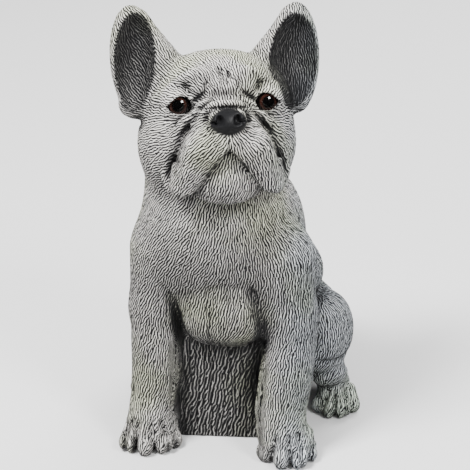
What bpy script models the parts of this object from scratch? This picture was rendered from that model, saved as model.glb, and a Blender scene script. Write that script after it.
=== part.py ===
"""Dog garden statue: a seated French bulldog cast in stone, with two glass eyes set in sockets.

The figure is a smooth field, negative inside, built from balls, limbs and folds. Its points are in units of
X. +Z is up, the dog looks towards -Y, and +X is the dog's left.
"""
import math

import bmesh
import bpy
import numpy as np
from mathutils import Matrix, Vector

# Driving sizes, in metres
HEIGHT = 0.386
EYE_DIAMETER = 0.023
EYE_CLEARANCE = 0.0003

# The figure is drawn on a height of this many units
UNITS_HIGH = 385.6
UNIT = HEIGHT / UNITS_HIGH
EYE_RADIUS = EYE_DIAMETER / 2 / UNIT
SOCKET_RADIUS = EYE_RADIUS + EYE_CLEARANCE / UNIT

# The eight corners of a grid cell
CORNERS = [(i, j, k) for i in (0, 1) for j in (0, 1) for k in (0, 1)]

# Fineness of the solids
GRID_STEP = 2.5
COARSE = 4
BAND_SHARE = 2.5
STATUE_TRIANGLES = 7700
FACE_WEIGHT = 0.4
FACE_FACTOR = 1e-4
STRAY = 1.2
NUDGE = 0.4
EYE_SEGMENTS = 20
EYE_RINGS = 10

# What it is made of
STONE_GREY = (0.33, 0.34, 0.34)
STONE_ROUGHNESS = 0.9
GLASS_BROWN = (0.05, 0.022, 0.014)
GLASS_ROUGHNESS = 0.08

# Where the head is and which way it looks, in units and degrees
HEAD_CENTRE = (-6.0, -46.0, 294.0)
HEAD_TURN = 17.0
HEAD_LIFT = 17.0
HEAD_TILT = 0.3
EYE_CENTRE = (36.2, -25.5, 16.0)
LID_THICKNESS = 3.0
DRAWN_EYE_RADIUS = 11.5
UPPER_LID = [(-10.4, -2.3), (-8.9, 2.6), (-5.6, 6.1), (-1.7, 7.2), (2.8, 5.8), (6.7, 2.6), (10.4, -1.2)]
LOWER_LID = [(-10.4, -2.3), (-7.6, -5.9), (-2.4, -7.2), (3.2, -6.9), (7.4, -4.5), (10.4, -1.2)]

# The hindquarters sit a little to the dog's left of the forelegs
HIND_SHIFT = 4.0
FOOT_SHIFT = 6.5
WEB_HALF_WIDTH = 50.0
WEB_GROOVE_PITCH = 9.0
WEB_GROOVES_END = 38.0

# The part of the head, in head space, where the triangles stay smaller
FACE_LOW = (-60, -90, -70)
FACE_HIGH = (60, -5, 50)

# The box that holds the whole figure, in units
FIELD_LOW = (-135, -140, -8)
FIELD_HIGH = (135, 150, 412)


def turned(turn=0.0, lift=0.0, tilt=0.0):
    """Axes tilted about Y, then lifted about X, then turned about Z, in degrees."""
    a, b, c = math.radians(turn), math.radians(-lift), math.radians(-tilt)
    about_z = np.array([[math.cos(a), -math.sin(a), 0], [math.sin(a), math.cos(a), 0], [0, 0, 1]])
    about_x = np.array([[1, 0, 0], [0, math.cos(b), -math.sin(b)], [0, math.sin(b), math.cos(b)]])
    about_y = np.array([[math.cos(c), 0, math.sin(c)], [0, 1, 0], [-math.sin(c), 0, math.cos(c)]])
    return about_z @ about_x @ about_y


HEAD_AXES = turned(HEAD_TURN, HEAD_LIFT, HEAD_TILT)


def into(p, centre, axes=None):
    """Points as seen from a centre, along its own axes."""
    q = p - np.asarray(centre, p.dtype)
    return q if axes is None else q @ np.asarray(axes, p.dtype)


def ball(p, centre, radii, axes=None):
    """An ellipsoid: its implicit value divided by its slope, close to a distance near the surface."""
    q = into(p, centre, axes)
    r = np.asarray(radii, p.dtype)
    value = np.sqrt(((q / r) ** 2).sum(1)) + 1e-6
    slope = np.sqrt(((q / (r * r)) ** 2).sum(1)) + 1e-9
    return value * (value - 1.0) / slope


def limb(p, start, end, start_radius, end_radius):
    """A round bar between two points, with a radius at each end."""
    start, end = np.asarray(start, p.dtype), np.asarray(end, p.dtype)
    along = end - start
    q = p - start
    h = np.clip(q @ along / (along @ along), 0, 1)
    return np.sqrt(((q - h[:, None] * along) ** 2).sum(1)) - (start_radius + (end_radius - start_radius) * h)


def chain(p, points, radii):
    """Limbs joined end to end."""
    pairs = zip(zip(points, points[1:]), zip(radii, radii[1:]))
    return np.minimum.reduce([limb(p, a, b, ra, rb) for (a, b), (ra, rb) in pairs])


def blend(a, b, k):
    """Union of two fields with a fillet about k wide."""
    h = np.clip(0.5 + 0.5 * (b - a) / k, 0, 1)
    return b + (a - b) * h - k * h * (1 - h)


def cut(a, b, k):
    """The first field less the second, with a rounded edge."""
    return -blend(-a, b, k)


def curve(points, steps=6):
    """A smooth line through the points, by Catmull-Rom."""
    pts = np.asarray(points, float)
    ends = np.vstack([2 * pts[0] - pts[1], pts, 2 * pts[-1] - pts[-2]])
    t = np.linspace(0, 1, steps, endpoint=False)[:, None]
    runs = []
    for a, b, c, d in zip(ends, ends[1:], ends[2:], ends[3:]):
        slope = (c - a) * t
        square = (2 * a - 5 * b + 4 * c - d) * t**2
        cube = (3 * b - a - 3 * c + d) * t**3
        runs.append(0.5 * (2 * b + slope + square + cube))
    return np.vstack(runs + [pts[-1:]])


def line_distance(q, points):
    """Distance from each point to a line of short runs, and the share of the way along it."""
    best = np.full(len(q), 1e9, q.dtype)
    share = np.zeros(len(q), q.dtype)
    count = len(points) - 1
    for i in range(count):
        start = points[i].astype(q.dtype)
        along = (points[i + 1] - points[i]).astype(q.dtype)
        r = q - start
        h = np.clip(r @ along / (along @ along), 0, 1)
        d = np.sqrt(((r - h[:, None] * along) ** 2).sum(1))
        near = d < best
        best = np.where(near, d, best)
        share = np.where(near, (i + h) / count, share)
    return best, share


def tube(q, points, radius):
    """A roll of flesh along a smooth line."""
    return line_distance(q, curve(points))[0] - radius


def fold(q, points, width, fade=0.0):
    """A bell across a smooth line, 1 on it, fading over a share of its length at each end."""
    d, share = line_distance(q, curve(points))
    ends = np.clip(share / fade, 0, 1) * np.clip((1 - share) / fade, 0, 1) if fade else 1.0
    return np.exp(-((d / width) ** 2)) * ends


def spot(a, b, centre, widths):
    """A round bell in a plane, 1 at its centre."""
    return np.exp(-(((a - centre[0]) / widths[0]) ** 2 + ((b - centre[1]) / widths[1]) ** 2))


def mirrored(q, middle=0.0):
    """Left and right at once: x becomes its distance from the middle."""
    m = q.copy()
    m[:, 0] = np.abs(m[:, 0] - np.float32(middle))
    return m


def ear_cup(m, side):
    """The hollow in the front of an ear."""
    centre = (69.5 - 3 * side, -14, 52 - 3 * side)
    radii = (20 + 2.1 * side, 29, 43 - 1.3 * side)
    return ball(m, centre, radii, turned(turn=14, tilt=-6 * side))


def ear(q, side):
    """One upright ear in head space, hollowed in front. The dog's left (side 1) opens a little wider."""
    m = q.copy()
    m[:, 0] *= side
    leaf = ball(m, (67.5 - side, 9, 50 - 1.3 * side), (21.3, 14, 48), turned(turn=8, tilt=-3))
    root = limb(m, (44, 17, 40), (62, 9, 86 - 1.3 * side), 22, 6)
    lobe = ball(m, (62 - 3 * side, 5, 17.5 + 1.5 * side), (17 - 2.5 * side, 15, 13))
    return cut(blend(blend(leaf, root, 5), lobe, 4), ear_cup(m, side), 2)


def skull(q, m):
    """Crown, cheeks, brow and the mass of the muzzle under its folds."""
    d = ball(q, (0, 12, 15), (62, 54, 45))
    d = blend(d, ball(mirrored(q, -3), (36, 4, -18), (31, 46, 42)), 14)
    d = blend(d, ball(q, (0, -30, -20), (47, 34, 34)), 10)
    d = blend(d, ball(m, (20, -29, 31), (11, 9, 11)), 8)
    ridge = [(14, -27, 41), (22, -33, 42), (30, -32, 39.5), (37, -29, 34), (45, -24, 28), (53, -16, 20)]
    d = blend(d, tube(m, ridge, 2.5), 10)
    # lower jaw, set back behind the lips
    chin = blend(ball(q, (0, -41, -41), (26, 21, 15)), ball(q, (0, -38, -49), (31, 22, 18)), 6)
    return blend(d, chin, 3)


def lip_height(x):
    """Height of the edge of the upper lip, by distance from the middle."""
    line = curve([(0, -22), (4, -24), (8, -28.5), (15, -37.5), (20, -46), (27, -54), (36, -58.5), (44, -60),
                  (52, -56)])
    return np.interp(x, line[:, 0], line[:, 1]).astype(x.dtype)


def muzzle(d, q, m, front):
    """A roll over the nose that flows into hanging flews cut along the lip, and a second roll down each cheek."""
    x, z = m[:, 0], m[:, 2]
    flews = chain(m, [(11, -57, -9), (20, -52, -20), (29, -46, -35), (33, -41, -48)], [13, 19.5, 17.5, 15])
    flews = blend(flews, ball(q, (0, -56, -16), (20, 15.5, 18)), 6)
    flews = blend(flews, ball(q, (0, -51, 6), (17, 11, 12)), 3)
    flews = blend(flews, ball(m, (19, -42, 0), (14, 14, 12)), 6)
    over_nose = [(0, -61, 17.5), (8.5, -60, 16), (14.3, -57.5, 12.8), (18.3, -54.5, 8.3), (22, -52, 2),
                 (26, -50, -6)]
    flews = blend(flews, tube(m, over_nose, 4.3), 4)
    flews = cut(flews, 0.75 * (z - lip_height(x)), 2.5)
    d = blend(d, flews, 2)
    cheek = [(14, -41, 18), (20, -45, 14.5), (26, -47, 9.5), (33, -46, 3.5), (38, -44, -2.5), (41.5, -41.5, -9),
             (44, -39, -17), (46, -36.5, -25), (48, -34, -33), (49, -32, -42), (46, -33, -51)]
    d = blend(d, tube(m, cheek, 4.9), 3)
    inner = [(20.5, 10.6), (24.5, 5.4), (29.5, -1), (34, -8), (36.8, -13.5), (39.5, -21.5), (41, -28.5),
             (41, -35)]
    outer = [(22, 17), (29, 11), (34.5, 5.5), (38.8, 0), (42.5, -6.5), (46, -13)]
    d = d + 1.9 * fold(m[:, [0, 2]], inner, 2.5, 0.15) * front
    d = d + 1.2 * fold(m[:, [0, 2]], outer, 2.2, 0.2) * front
    return d + 2.0 * spot(x, z, (42, -33), (3.5, 9)) * front


def nose(d, q, m, front):
    """Nose pad with nostrils, a crease at each side of it and the cleft below it."""
    z = m[:, 2]
    pad = ball(q, (0, -64, 2.2), (13, 12, 10.8))
    pad = blend(pad, ball(m, (9, -63, 3.8), (6.5, 11, 8.4)), 4)
    pad = cut(pad, ball(m, (7, -74, 4.5), (3, 6, 4.7), turned(tilt=-15)), 1.5)
    pad = cut(pad, ball(m, (11.5, -72, 2), (4, 5, 1.7), turned(tilt=10)), 1.5)
    slit = [(10, -8), (14, -4), (16.5, 1.5), (20, 2.5)]
    d = d + 1.3 * fold(m[:, [0, 2]], slit, 2.0, 0.3) * front
    d = blend(d, pad, 2)
    cleft = np.clip((-z - 6) / 6, 0, 1) * np.clip((z + 34) / 8, 0, 1) * front
    return d + 0.8 * np.exp(-((m[:, 0] / 1.8) ** 2)) * cleft


def frown(d, q, m, front):
    """Creases of the brow and the hollow between the eyes."""
    xz = m[:, [0, 2]]
    d = d + 1.8 * fold(xz, [(33, 35), (31, 31), (28.5, 26), (26, 21)], 2.4, 0.35) * front
    inner = [(12.5, 38), (13, 31), (14.5, 26.5), (18, 22.5), (23, 19), (26, 18)]
    d = d + 1.8 * fold(xz, inner, 2.0, 0.15) * front
    d = d + 2.2 * spot(m[:, 0], m[:, 2], (0, 23), (12, 4)) * front
    for middle in ([(-3, 48), (-1, 38), (0.5, 28)], [(4, 44), (5.5, 38), (4, 30)]):
        d = d + 1.7 * fold(q[:, [0, 2]], middle, 1.7, 0.25) * front
    return d


def lids(d, m):
    """A thick round rim around each eye."""
    outside = EYE_RADIUS + LID_THICKNESS
    return blend(d, ball(m, EYE_CENTRE, (outside, outside, outside)), 5)


def opened(d, m):
    """The opening of each eye lies between two curves that meet at the corners."""
    x, y, z = (m - np.float32(EYE_CENTRE)).T
    upper, lower = (curve(line) * EYE_RADIUS / DRAWN_EYE_RADIUS for line in (UPPER_LID, LOWER_LID))
    above = z - np.interp(x, upper[:, 0], upper[:, 1]).astype(m.dtype)
    below = np.interp(x, lower[:, 0], lower[:, 1]).astype(m.dtype) - z
    return cut(d, np.maximum(0.8 * np.maximum(above, below), y), 1.5)


def head(p):
    """The whole head, turned and lifted on the neck."""
    q = into(p, HEAD_CENTRE, HEAD_AXES)
    m = mirrored(q)
    front = np.clip((-m[:, 1] - 5) / 15, 0, 1)
    d = skull(q, m)
    d = muzzle(d, q, m, front)
    d = nose(d, q, m, front)
    d = blend(d, np.minimum(ear(q, 1), ear(q, -1)), 4)
    d = d + 2.0 * spot(m[:, 0], m[:, 2], (70, 1), (6, 3))
    return opened(frown(lids(d, m), q, m, front), m)


def trunk(p):
    """Neck, chest, back, flanks, rump and a stub of tail."""
    d = limb(p, (-18, -34, 262), (-15, -36, 204), 54, 60)
    d = blend(d, ball(p, (-8, -26, 164), (70, 60, 72)), 26)
    d = blend(d, limb(p, (-1, -4, 186), (0, 74, 82), 58, 62), 24)
    d = blend(d, ball(mirrored(p, HIND_SHIFT), (36, 30, 124), (34, 42, 30)), 12)
    d = blend(d, ball(p, (0, 68, 52), (78, 60, 60)), 20)
    return blend(d, limb(p, (0, 116, 22), (3, 128, 18), 14, 10), 10)


def forelegs(d, p):
    """Shoulders, straight forelegs with an elbow behind, and the brisket between them."""
    d = blend(d, limb(mirrored(p, -3), (51, -50, 172), (58, -58, 122), 31, 23.5), 14)
    left = chain(p, [(60, -58, 124), (59, -64, 98), (57, -72, 72), (54, -82, 44), (56, -88, 26)],
                 [22.5, 22.5, 23.5, 22.5, 22])
    right = chain(p, [(-60, -58, 124), (-59, -64, 98), (-58, -72, 70), (-60.5, -81, 44), (-62, -88, 26)],
                  [23, 23.5, 22.5, 19.5, 19.5])
    legs = blend(np.minimum(left, right), limb(mirrored(p), (59, -50, 112), (60, -37, 98), 20, 15), 10)
    d = blend(d, legs, 8)
    brisket = blend(ball(p, (1, -66, 127), (39, 27, 32)), limb(p, (-12, -68, 120), (14, -68, 120), 22, 22), 8)
    return blend(d, brisket, 9)


def haunches(d, p):
    """Folded thighs, hocks and hind feet."""
    m = mirrored(p, HIND_SHIFT)
    d = blend(d, ball(m, (58, 42, 58), (32, 50, 46)), 12)
    d = blend(d, ball(m, (72, 20, 70), (28, 46, 32), turned(lift=-14)), 5)
    d = blend(d, limb(m, (79, 2, 42), (83, 28, 14), 17, 14), 3)
    d = blend(d, limb(m, (80, 44, 14), (85, 2, 13), 14, 14), 4)
    near = np.clip((30 - p[:, 1]) / 20, 0, 1) * np.clip((p[:, 1] + 40) / 8, 0, 1)
    near *= np.clip((m[:, 0] - 66) / 8, 0, 1)
    return d + 2.4 * fold(m[:, [0, 2]], [(70, 62), (80, 61), (88, 59), (96, 56), (106, 58)], 2.8) * near


def web(d, p):
    """The upright block of stone under the belly, its face carved with grooves like bark."""
    x, y, z = p[:, 0], p[:, 1], p[:, 2]
    face = -66 + 0.11 * x
    sides = np.maximum(np.abs(x) - WEB_HALF_WIDTH, z - 135)
    wander = 2.0 * np.sin(z / 17) + 1.2 * np.sin(z / 7 + x / 9)
    clear_of_legs = np.clip((WEB_GROOVES_END - np.abs(x)) / 6, 0, 1)
    groove = 0.9 * clear_of_legs * np.cos((x + wander) * 2 * math.pi / WEB_GROOVE_PITCH)
    return blend(d, np.maximum(sides, np.maximum(face - y + groove, y - 60)), 6)


def toes(d, p, middle, rise, places):
    """Rounded toes at (x, y, radius), spread from the middle of the paw, with a groove between each two."""
    for x, y, r in places:
        knuckle = middle + 0.65 * (x - middle)
        d = blend(d, limb(p, (knuckle, y + 16, rise), (x, y, r - 1.5), r * 0.9, r), 1.2)
    for (xa, ya, ra), (xb, yb, rb) in zip(places, places[1:]):
        x, y = (xa * rb + xb * ra) / (ra + rb), (ya + yb) / 2
        knuckle = middle + 0.65 * (x - middle)
        near = np.clip((y + 14 - p[:, 1]) / 8, 0, 1)
        d = d + 2.2 * fold(p[:, [0, 2]], [(x, 0), (x, 0.6 * rise), (knuckle, 1.7 * rise)], 1.9) * near
    return d


def paws(d, p):
    """Two broad forepaws, unlike each other as in the carving, and two hind paws."""
    d = blend(d, np.minimum(ball(p, (62, -86, 14), (25, 24, 18)), ball(p, (-62, -86, 13), (24, 24, 17))), 7)
    d = toes(d, p, 60, 18, [(44.5, -97, 9.5), (59.5, -106, 10.5), (74, -104, 9.5), (80.5, -92, 8)])
    right = [(-81, -92, 8), (-77, -103, 10), (-62, -106, 10), (-47.5, -100, 9.5), (-40, -90, 7.5)]
    d = toes(d, p, -62, 18, right)
    return toes(d, mirrored(p, FOOT_SHIFT), 85, 13, [(72, -4, 8), (81, -11, 9), (92, -9, 9), (100, 2, 8)])


def coat(d, p):
    """Creases of the armpits, the fold and seam of the brisket and the rolls of the throat."""
    front = np.clip((-p[:, 1] - 30) / 20, 0, 1)
    xz = p[:, [0, 2]]
    for armpit in ([(-52, 158), (-46, 144), (-40, 127), (-35, 107), (-31, 96)],
                   [(22, 162), (29, 146), (34, 126), (38, 107)]):
        d = d + 3.0 * fold(xz, armpit, 4.5, 0.25) * front
    d = d + 0.8 * fold(xz, [(-30, 150), (-9, 157), (14, 158), (33, 146)], 4.0, 0.3) * front
    d = d + 1.4 * fold(xz, [(-6, 148), (-7, 120), (-6, 96)], 2.5, 0.2) * front
    return d - 3.0 * spot(np.abs(p[:, 0] + 8), p[:, 2], (19, 216), (11, 9)) * front


def figure(p):
    """The field of the whole dog at each point."""
    d = forelegs(trunk(p), p)
    d = haunches(d, p)
    d = web(d, p)
    d = paws(blend(d, head(p), 10), p)
    return coat(d, p)


def sampled(step):
    """The field on a grid: a coarse pass everywhere, and a fine one only near the surface."""
    axes = [np.arange(a, b + step, step, dtype=np.float32) for a, b in zip(FIELD_LOW, FIELD_HIGH)]
    sparse = [a[::COARSE] for a in axes]
    rough = figure(np.stack(np.meshgrid(*sparse, indexing="ij"), -1).reshape(-1, 3))
    rough = rough.reshape([len(a) for a in sparse])
    nearest = [np.minimum(np.arange(len(a)) // COARSE, len(s) - 1) for a, s in zip(axes, sparse)]
    values = rough[np.ix_(*nearest)].ravel()
    band = np.abs(values) < step * COARSE * BAND_SHARE
    grid = np.stack(np.meshgrid(*axes, indexing="ij"), -1).reshape(-1, 3)
    values[band] = figure(grid[band])
    return values.reshape([len(a) for a in axes])


def corner_codes(inside):
    """A number for each cell that says which of its eight corners lie inside."""
    n = np.array(inside.shape)
    codes = np.zeros(n - 1, np.uint8)
    for bit, (i, j, k) in enumerate(CORNERS):
        codes |= inside[i:n[0] - 1 + i, j:n[1] - 1 + j, k:n[2] - 1 + k].astype(np.uint8) << bit
    return codes


def in_one_piece(corners):
    """Whether these corners of a cell are linked along its edges."""
    reached = corners[:1]
    for here in reached:
        for other in corners:
            if other not in reached and sum(abs(a - b) for a, b in zip(here, other)) == 1:
                reached.append(other)
    return len(reached) == len(corners)


def filled(f, step):
    """Fill the cells that two sheets of the surface would share, so that each edge keeps two faces."""
    shared = []
    for code in range(256):
        within = [c for bit, c in enumerate(CORNERS) if code >> bit & 1]
        without = [c for bit, c in enumerate(CORNERS) if not code >> bit & 1]
        shared.append(not (in_one_piece(within) and in_one_piece(without)))
    shared = np.array(shared)
    while True:
        cell = np.argwhere(shared[corner_codes(f < 0)])
        if not len(cell):
            return f
        for corner in CORNERS:
            place = tuple((cell + corner).T)
            f[place] = np.minimum(f[place], -0.1 * step)


def net_points(f):
    """One point in each cell that the surface crosses, at the mean of the crossings of its edges."""
    codes = corner_codes(f < 0)
    mixed = (codes > 0) & (codes < 255)
    cell = np.argwhere(mixed)
    number = np.full(mixed.shape, -1, np.int32)
    number[mixed] = np.arange(len(cell))
    total = np.zeros((len(cell), 3))
    hits = np.zeros(len(cell))
    for low in CORNERS:
        for axis in range(3):
            if low[axis]:
                continue
            high = list(low)
            high[axis] = 1
            fa, fb = f[tuple((cell + low).T)], f[tuple((cell + high).T)]
            crossed = (fa < 0) != (fb < 0)
            place = np.repeat(np.array(low, float)[None], len(cell), 0)
            place[:, axis] += np.where(crossed, fa / np.where(crossed, fa - fb, 1), 0)
            total += np.where(crossed[:, None], place, 0)
            hits += crossed
    return cell + total / hits[:, None], number


def net_faces(f, number):
    """A four-sided face across each grid edge that the surface crosses, facing outwards."""
    inside = f < 0
    faces = []
    for axis in range(3):
        low = [slice(1, -1)] * 3
        low[axis] = slice(0, -1)
        high = list(low)
        high[axis] = slice(1, None)
        start = np.ones(3, int)
        start[axis] = 0
        edge = np.argwhere(inside[tuple(low)] != inside[tuple(high)]) + start
        one, two = [a for a in range(3) if a != axis]
        if axis == 1:
            one, two = two, one
        ring = []
        for back, down in ((-1, -1), (0, -1), (0, 0), (-1, 0)):
            cell = edge.copy()
            cell[:, one] += back
            cell[:, two] += down
            ring.append(number[tuple(cell.T)])
        ring = np.stack(ring, 1)
        outwards = ~inside[tuple(edge.T)]
        ring[outwards] = ring[outwards][:, ::-1]
        faces.append(ring)
    return np.vstack(faces)


def material(name, colour, roughness):
    """A plain Principled BSDF."""
    made = bpy.data.materials.new(name)
    made.use_nodes = True
    shader = made.node_tree.nodes["Principled BSDF"]
    shader.inputs["Base Color"].default_value = (*colour, 1)
    shader.inputs["Roughness"].default_value = roughness
    shader.inputs["Metallic"].default_value = 0.0
    made.diffuse_color = (*colour, 1)
    return made


def added(name, mesh):
    """A new object in the scene."""
    made = bpy.data.objects.new(name, mesh)
    bpy.context.collection.objects.link(made)
    return made


def settled(mesh):
    """Move corners that the thinning threw off the true surface back onto it, down the field's slope."""
    p = np.empty(3 * len(mesh.vertices), np.float32)
    mesh.vertices.foreach_get("co", p)
    p = p.reshape(-1, 3) / np.float32(UNIT)
    stray = np.flatnonzero(np.abs(figure(p)) > STRAY)
    nudges = np.eye(3, dtype=np.float32) * NUDGE
    for _ in range(3):
        q = p[stray]
        felt = figure(q)
        rise = np.stack([(figure(q + nudge) - felt) / NUDGE for nudge in nudges], 1)
        p[stray] = q - felt[:, None] * rise / ((rise**2).sum(1)[:, None] + 1e-6)
    mesh.vertices.foreach_set("co", (p * UNIT).ravel())


def carved_mesh():
    """The figure's surface with its triangles thinned out, where it is flattest first."""
    f = filled(sampled(GRID_STEP), GRID_STEP)
    points, number = net_points(f)
    faces = net_faces(f, number)
    mesh = bpy.data.meshes.new("statue_fine")
    mesh.from_pydata(((points * GRID_STEP + FIELD_LOW) * UNIT).tolist(), [], faces.tolist())
    fine = added("statue_fine", mesh)
    q = into(points * GRID_STEP + FIELD_LOW, HEAD_CENTRE, HEAD_AXES)
    face = np.flatnonzero(((q > FACE_LOW) & (q < FACE_HIGH)).all(1))
    weights = fine.vertex_groups.new(name="thinning")
    weights.add(range(len(points)), 1.0, "REPLACE")
    weights.add(face.tolist(), FACE_WEIGHT, "REPLACE")
    thin = fine.modifiers.new("Thin out", "DECIMATE")
    thin.ratio = STATUE_TRIANGLES / (2 * len(faces))
    thin.vertex_group = weights.name
    thin.vertex_group_factor = FACE_FACTOR
    graph = bpy.context.evaluated_depsgraph_get()
    made = bpy.data.meshes.new_from_object(fine.evaluated_get(graph))
    bpy.data.objects.remove(fine)
    made.name = "statue"
    settled(made)
    return made


def stand_flat(mesh):
    """Cut the feet and seat off at the ground and close them with flat faces."""
    shape = bmesh.new()
    shape.from_mesh(mesh)
    whole = shape.verts[:] + shape.edges[:] + shape.faces[:]
    up = (0, 0, 1)
    bmesh.ops.bisect_plane(shape, geom=whole, dist=1e-5, plane_co=(0, 0, 0), plane_no=up, clear_inner=True)
    rims = [e for e in shape.edges if e.is_boundary]
    for corner in {v for e in rims for v in e.verts}:
        corner.co.z = 0
    bmesh.ops.triangle_fill(shape, edges=rims, use_beauty=True, normal=(0, 0, -1))
    bmesh.ops.triangulate(shape, faces=shape.faces[:])
    bmesh.ops.recalc_face_normals(shape, faces=shape.faces[:])
    shape.to_mesh(mesh)
    shape.free()


def head_to_world(point):
    """A point in head space, in metres."""
    return Vector((HEAD_AXES @ np.array(point) + HEAD_CENTRE) * UNIT)


def eye_ball(name, side, radius):
    """A ball of an eye's centre and axes, on the dog's left for side 1."""
    mesh = bpy.data.meshes.new(name)
    shape = bmesh.new()
    bmesh.ops.create_uvsphere(shape, u_segments=EYE_SEGMENTS, v_segments=EYE_RINGS, radius=radius * UNIT)
    shape.to_mesh(mesh)
    shape.free()
    made = added(name, mesh)
    centre = (side * EYE_CENTRE[0], EYE_CENTRE[1], EYE_CENTRE[2])
    made.matrix_world = Matrix.Translation(head_to_world(centre)) @ Matrix(HEAD_AXES.tolist()).to_4x4()
    return made


def bore(target, cutter, name):
    """Cut one object out of another."""
    cutter.hide_render = True
    cutter.display_type = "WIRE"
    hole = target.modifiers.new(name, "BOOLEAN")
    hole.operation = "DIFFERENCE"
    hole.solver = "EXACT"
    hole.object = cutter


def main():
    """Build the statue and its eyes, with the origin under the middle of the whole."""
    for old in list(bpy.data.objects):
        bpy.data.objects.remove(old)
    mesh = carved_mesh()
    stand_flat(mesh)
    statue = added("statue", mesh)
    mesh.materials.append(material("cast_stone", STONE_GREY, STONE_ROUGHNESS))
    glass = material("brown_glass", GLASS_BROWN, GLASS_ROUGHNESS)
    low, high = Vector(statue.bound_box[0]), Vector(statue.bound_box[6])
    middle = Matrix.Translation((-(low.x + high.x) / 2, -(low.y + high.y) / 2, 0))
    statue.matrix_world = middle
    for side, word in ((1, "left"), (-1, "right")):
        cutter = eye_ball(f"socket_{word}", side, SOCKET_RADIUS)
        eye = eye_ball(f"eye_{word}", side, EYE_RADIUS)
        eye.data.materials.append(glass)
        for placed in (cutter, eye):
            placed.matrix_world = middle @ placed.matrix_world
        bore(statue, cutter, f"Socket {word}")


main()
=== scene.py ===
# %% [markdown]
# # A cast-stone garden dog
#
# The real object is a seated French bulldog, cast in one piece of grey stone in a mould taken from a carved
# model, with short strokes of fur all over it and two glass eyes. It could be sculpted by hand, but a sculpt
# can't be read or changed. Here the body is a field: a function that is negative inside the stone and
# positive outside, put together from balls, limbs and folds. The surface is where the field is zero.

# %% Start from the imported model
import math
import time

import bpy
import numpy as np
from mathutils import Matrix, Vector


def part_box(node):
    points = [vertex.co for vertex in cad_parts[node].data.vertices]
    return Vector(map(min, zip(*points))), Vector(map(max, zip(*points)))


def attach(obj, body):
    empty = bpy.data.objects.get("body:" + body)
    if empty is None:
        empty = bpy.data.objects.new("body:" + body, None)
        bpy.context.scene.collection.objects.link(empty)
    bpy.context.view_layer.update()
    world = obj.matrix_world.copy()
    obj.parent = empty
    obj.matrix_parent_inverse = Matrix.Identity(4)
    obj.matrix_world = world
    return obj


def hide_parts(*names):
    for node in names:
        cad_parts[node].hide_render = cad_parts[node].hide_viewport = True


started = time.time()
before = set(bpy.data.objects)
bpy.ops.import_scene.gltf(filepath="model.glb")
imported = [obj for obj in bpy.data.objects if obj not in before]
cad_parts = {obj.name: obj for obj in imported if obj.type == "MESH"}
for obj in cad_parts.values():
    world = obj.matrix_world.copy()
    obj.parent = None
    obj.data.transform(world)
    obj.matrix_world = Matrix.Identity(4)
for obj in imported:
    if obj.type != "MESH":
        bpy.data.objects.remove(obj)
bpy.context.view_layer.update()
print("nodes in the frame:", len(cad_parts))

# %% [markdown]
# ## Sizes
#
# The figure is drawn in units that grow with its height, as in the part's own source, so that every point of
# its carving is a share of the height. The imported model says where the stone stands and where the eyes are.

# %% Sizes and places
UNITS_HIGH = 385.6
statue_low, statue_high = (Vector(corner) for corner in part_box("statue"))
UNIT = (statue_high.z - statue_low.z) / UNITS_HIGH
eye_low, eye_high = (Vector(corner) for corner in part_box("eye_left"))
EYE_RADIUS = (eye_high.z - eye_low.z) / 2 / UNIT
HEAD_CENTRE = (-6.0, -46.0, 294.0)
HEAD_TURN = 17.0
HEAD_LIFT = 17.0
HEAD_TILT = 0.3
EYE_CENTRE = (36.2, -25.5, 16.0)
LID_THICKNESS = 3.0
DRAWN_EYE_RADIUS = 11.5
UPPER_LID = [(-10.4, -2.3), (-8.9, 2.6), (-5.6, 6.1), (-1.7, 7.2), (2.8, 5.8), (6.7, 2.6), (10.4, -1.2)]
LOWER_LID = [(-10.4, -2.3), (-7.6, -5.9), (-2.4, -7.2), (3.2, -6.9), (7.4, -4.5), (10.4, -1.2)]
HIND_SHIFT = 4.0
FOOT_SHIFT = 6.5
WEB_HALF_WIDTH = 50.0
print(f"one unit is {UNIT * 1000:.4f} mm, and an eye is {EYE_RADIUS * 2:.1f} units across")

# %% [markdown]
# ## Tools for a field
#
# Each tool takes many points at once as one array and gives a number for each: about the distance to its
# surface, negative inside. Adding a bell to a field carves a groove, because it moves the zero inwards.
# Throughout, p is points on the whole figure, q the same points along a part's own axes, and m those with
# left and right folded together.

# %% Balls, limbs and the ways to join them
def turned(turn=0.0, lift=0.0, tilt=0.0):
    """Axes tilted about Y, then lifted about X, then turned about Z, in degrees."""
    a, b, c = math.radians(turn), math.radians(-lift), math.radians(-tilt)
    about_z = np.array([[math.cos(a), -math.sin(a), 0], [math.sin(a), math.cos(a), 0], [0, 0, 1]])
    about_x = np.array([[1, 0, 0], [0, math.cos(b), -math.sin(b)], [0, math.sin(b), math.cos(b)]])
    about_y = np.array([[math.cos(c), 0, math.sin(c)], [0, 1, 0], [-math.sin(c), 0, math.cos(c)]])
    return about_z @ about_x @ about_y


HEAD_AXES = turned(HEAD_TURN, HEAD_LIFT, HEAD_TILT)


def into(p, centre, axes=None):
    """Points as seen from a centre, along its own axes."""
    q = p - np.asarray(centre, p.dtype)
    return q if axes is None else q @ np.asarray(axes, p.dtype)


def ball(p, centre, radii, axes=None):
    """An ellipsoid: its implicit value divided by its slope, close to a distance near the surface."""
    q = into(p, centre, axes)
    r = np.asarray(radii, p.dtype)
    value = np.sqrt(((q / r) ** 2).sum(1)) + 1e-6
    slope = np.sqrt(((q / (r * r)) ** 2).sum(1)) + 1e-9
    return value * (value - 1.0) / slope


def limb(p, start, end, start_radius, end_radius):
    """A round bar between two points, with a radius at each end."""
    start, end = np.asarray(start, p.dtype), np.asarray(end, p.dtype)
    along = end - start
    q = p - start
    h = np.clip(q @ along / (along @ along), 0, 1)
    radius = start_radius + (end_radius - start_radius) * h
    return np.sqrt(((q - h[:, None] * along) ** 2).sum(1)) - radius


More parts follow.
